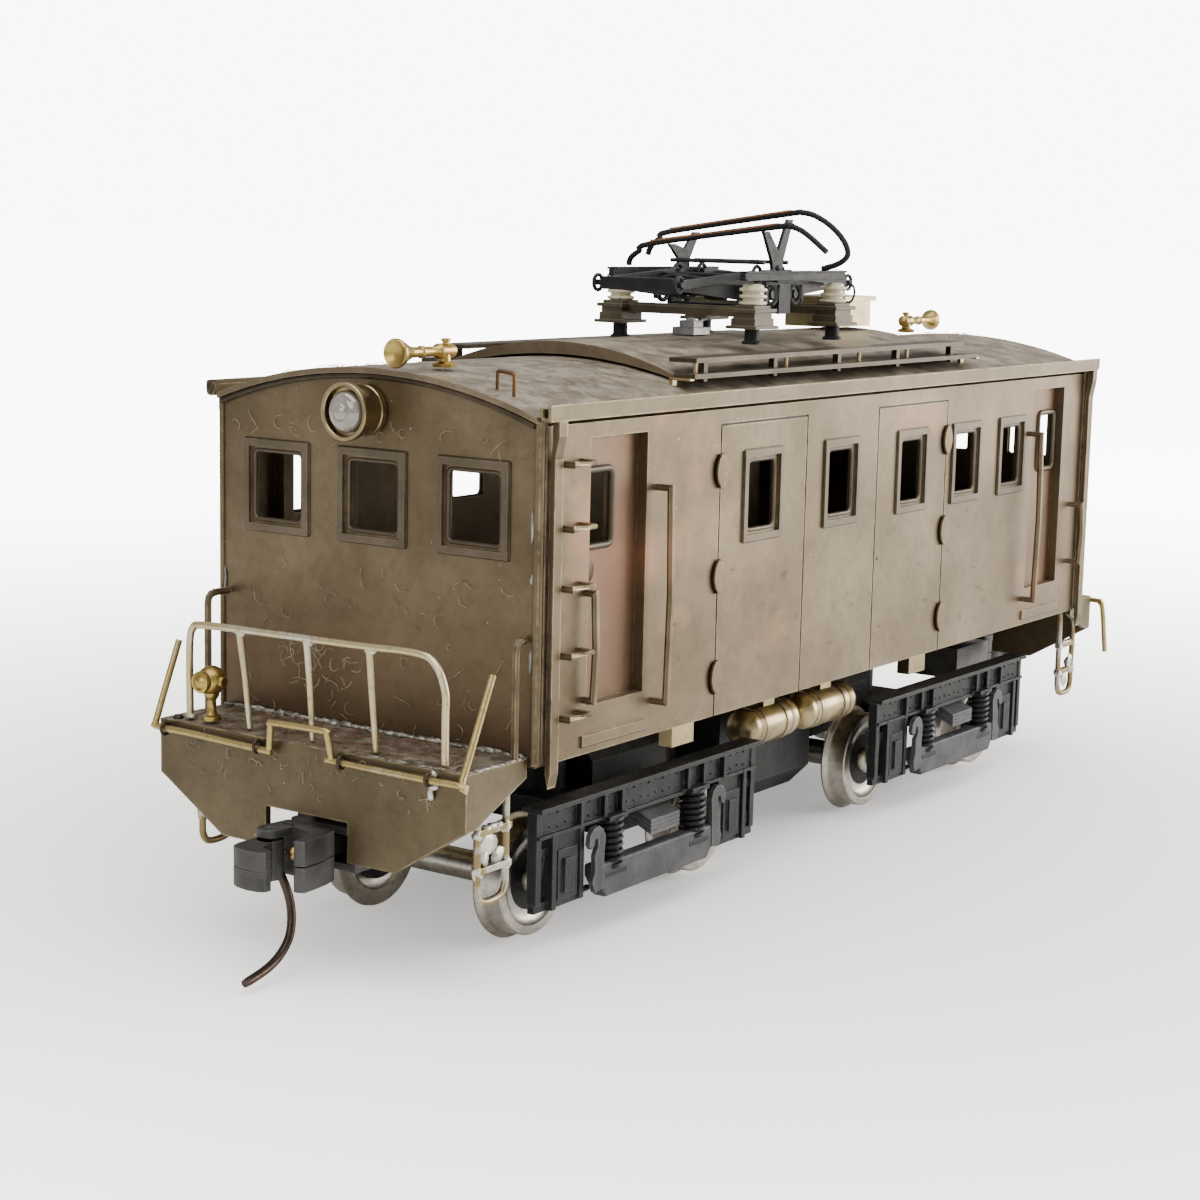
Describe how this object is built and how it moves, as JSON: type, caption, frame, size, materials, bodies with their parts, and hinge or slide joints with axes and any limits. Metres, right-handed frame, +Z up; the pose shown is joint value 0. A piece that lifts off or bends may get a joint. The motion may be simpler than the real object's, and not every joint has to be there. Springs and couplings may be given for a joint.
{
  "type": "model electric locomotive",
  "caption": "Box-cab model electric locomotive in darkened brass with open end platforms, swivelling powered bogies and a folding roof pantograph.",
  "frame": {"origin": "bottom centre: midway between the ends and the sides, on the plane under the wheel flanges", "axes": "+X along the length towards the rear end, +Z up, -Y is the side with the air tanks"},
  "size_m": [0.1362, 0.038, 0.0627],
  "materials": {
    "patina": "chemically darkened brass sheet, satin, worn at the edges",
    "bright_brass": "bare turned brass, slightly dull",
    "soldered_wire": "nickel wire with tinned solder joints",
    "black_casting": "thin black paint on cast metal, grey at the edges",
    "nickel_silver": "turned nickel silver, lightly tarnished",
    "coupler_metal": "dark oxidised casting",
    "lens": "small domed lens over a grey reflector",
    "insulator_cream": "cream moulded insulators on brown stepped feet"
  },
  "bodies": {
    "root": {"body_shell": "patina", "main_roof": "patina", "roof_hatch": "patina", "walkway_near": "patina", "walkway_far": "patina", "gutter_near": "patina", "gutter_far": "patina", "headlamp_front": "patina", "headlamp_rear": "patina", "platform_front": "patina", "platform_rear": "patina", "headlamp_lens_front": "lens", "headlamp_lens_rear": "lens", "marker_lamp_front": "bright_brass", "marker_lamp_rear": "bright_brass", "whistle_front": "bright_brass", "whistle_rear": "bright_brass", "uncoupling_lever_front": "bright_brass", "uncoupling_lever_rear": "bright_brass", "roof_box": "bright_brass", "air_tank_front": "bright_brass", "air_tank_rear": "bright_brass", "chassis_floor": "bright_brass", "gallery_rail_front": "soldered_wire", "gallery_rail_rear": "soldered_wire", "step_front_near": "soldered_wire", "step_front_far": "soldered_wire", "step_rear_near": "soldered_wire", "step_rear_far": "soldered_wire", "coupler_box_front": "coupler_metal", "coupler_box_rear": "coupler_metal", "motor_case": "black_casting", "pantograph_base": "black_casting", "king_pin_front": "nickel_silver", "king_pin_rear": "nickel_silver", "pantograph_mount_front": "insulator_cream", "pantograph_mount_rear": "insulator_cream"},
    "bogie_front": {"bogie_bolster_front": "black_casting", "side_frame_front_near": "black_casting", "side_frame_front_far": "black_casting"},
    "axle_front_outer": {"wheelset_front_outer": "nickel_silver"},
    "axle_front_inner": {"wheelset_front_inner": "nickel_silver"},
    "worm_front": {"worm_shaft_front": "nickel_silver"},
    "coupler_front": {"coupler_front": "coupler_metal"},
    "knuckle_front": {"knuckle_front": "coupler_metal"},
    "lower_arm_front": {"lower_arm_front": "black_casting"},
    "upper_arm_front": {"upper_arm_front": "black_casting"},
    "bogie_rear": {"bogie_bolster_rear": "black_casting", "side_frame_rear_near": "black_casting", "side_frame_rear_far": "black_casting"},
    "axle_rear_outer": {"wheelset_rear_outer": "nickel_silver"},
    "axle_rear_inner": {"wheelset_rear_inner": "nickel_silver"},
    "worm_rear": {"worm_shaft_rear": "nickel_silver"},
    "coupler_rear": {"coupler_rear": "coupler_metal"},
    "knuckle_rear": {"knuckle_rear": "coupler_metal"},
    "lower_arm_rear": {"lower_arm_rear": "black_casting"},
    "upper_arm_rear": {"upper_arm_rear": "black_casting"},
    "armature": {"motor_armature": "nickel_silver"},
    "collector": {"pantograph_head": "black_casting"}
  },
  "joints": [
    {"name": "bogie_front_swivel", "type": "hinge", "parent": "root", "child": "bogie_front", "pos_m": [-0.0295, 0, 0.0165], "axis": [0, 0, 1], "range_deg": [-5, 5]},
    {"name": "axle_front_outer_spin", "type": "hinge", "parent": "bogie_front", "child": "axle_front_outer", "pos_m": [-0.0425, 0, 0.0055], "axis": [0, 1, 0], "continuous": true},
    {"name": "axle_front_inner_spin", "type": "hinge", "parent": "bogie_front", "child": "axle_front_inner", "pos_m": [-0.0165, 0, 0.0055], "axis": [0, 1, 0], "continuous": true},
    {"name": "worm_front_spin", "type": "hinge", "parent": "bogie_front", "child": "worm_front", "pos_m": [-0.0165, 0, 0.0098], "axis": [1, 0, 0], "continuous": true},
    {"name": "coupler_front_swing", "type": "hinge", "parent": "root", "child": "coupler_front", "pos_m": [-0.0535, 0, 0.01], "axis": [0, 0, 1], "range_deg": [-10, 10]},
    {"name": "knuckle_front_open", "type": "hinge", "parent": "coupler_front", "child": "knuckle_front", "pos_m": [-0.0626, 0.002, 0.01], "axis": [0, 0, -1], "range_deg": [0, 25], "stiffness_Nm_per_rad": 0.0001, "springref_deg": -5.73},
    {"name": "bogie_rear_swivel", "type": "hinge", "parent": "root", "child": "bogie_rear", "pos_m": [0.0295, 0, 0.0165], "axis": [0, 0, 1], "range_deg": [-5, 5]},
    {"name": "axle_rear_outer_spin", "type": "hinge", "parent": "bogie_rear", "child": "axle_rear_outer", "pos_m": [0.0425, 0, 0.0055], "axis": [0, 1, 0], "continuous": true},
    {"name": "axle_rear_inner_spin", "type": "hinge", "parent": "bogie_rear", "child": "axle_rear_inner", "pos_m": [0.0165, 0, 0.0055], "axis": [0, 1, 0], "continuous": true},
    {"name": "worm_rear_spin", "type": "hinge", "parent": "bogie_rear", "child": "worm_rear", "pos_m": [0.0165, 0, 0.0098], "axis": [1, 0, 0], "continuous": true},
    {"name": "coupler_rear_swing", "type": "hinge", "parent": "root", "child": "coupler_rear", "pos_m": [0.0535, 0, 0.01], "axis": [0, 0, 1], "range_deg": [-10, 10]},
    {"name": "knuckle_rear_open", "type": "hinge", "parent": "coupler_rear", "child": "knuckle_rear", "pos_m": [0.0626, -0.002, 0.01], "axis": [0, 0, -1], "range_deg": [0, 25], "stiffness_Nm_per_rad": 0.0001, "springref_deg": -5.73},
    {"name": "armature_spin", "type": "hinge", "parent": "root", "child": "armature", "pos_m": [0, 0, 0.0098], "axis": [1, 0, 0], "continuous": true},
    {"name": "pantograph_raise", "type": "hinge", "parent": "root", "child": "lower_arm_front", "pos_m": [-0.0022, -0.0012, 0.0544], "axis": [0, 1, 0], "range_deg": [0, 56]},
    {"name": "lower_arm_rear_turn", "type": "hinge", "parent": "root", "child": "lower_arm_rear", "pos_m": [0.0022, -0.0012, 0.0544], "axis": [0, -1, 0], "range_deg": [0, 56]},
    {"name": "knee_front", "type": "hinge", "parent": "lower_arm_front", "child": "upper_arm_front", "pos_m": [-0.01597, -0.0012, 0.05536], "axis": [0, -1, 0], "range_deg": [0, 112]},
    {"name": "knee_rear", "type": "hinge", "parent": "lower_arm_rear", "child": "upper_arm_rear", "pos_m": [0.01597, -0.0012, 0.05536], "axis": [0, 1, 0], "range_deg": [0, 112]},
    {"name": "collector_level", "type": "hinge", "parent": "upper_arm_front", "child": "collector", "pos_m": [-0.0022, -0.0012, 0.05633], "axis": [0, 1, 0], "range_deg": [0, 56]}
  ],
  "couplings": [
    {"joint": "lower_arm_rear_turn", "follows": "pantograph_raise", "ratio": 1},
    {"joint": "knee_front", "follows": "pantograph_raise", "ratio": 2},
    {"joint": "knee_rear", "follows": "pantograph_raise", "ratio": 2},
    {"joint": "collector_level", "follows": "pantograph_raise", "ratio": 1},
    {"joint": "worm_front_spin", "follows": "axle_front_inner_spin", "ratio": -14},
    {"joint": "armature_spin", "follows": "axle_front_inner_spin", "ratio": -14},
    {"joint": "worm_rear_spin", "follows": "axle_front_inner_spin", "ratio": -14},
    {"joint": "axle_rear_inner_spin", "follows": "axle_front_inner_spin", "ratio": 1}
  ]
}
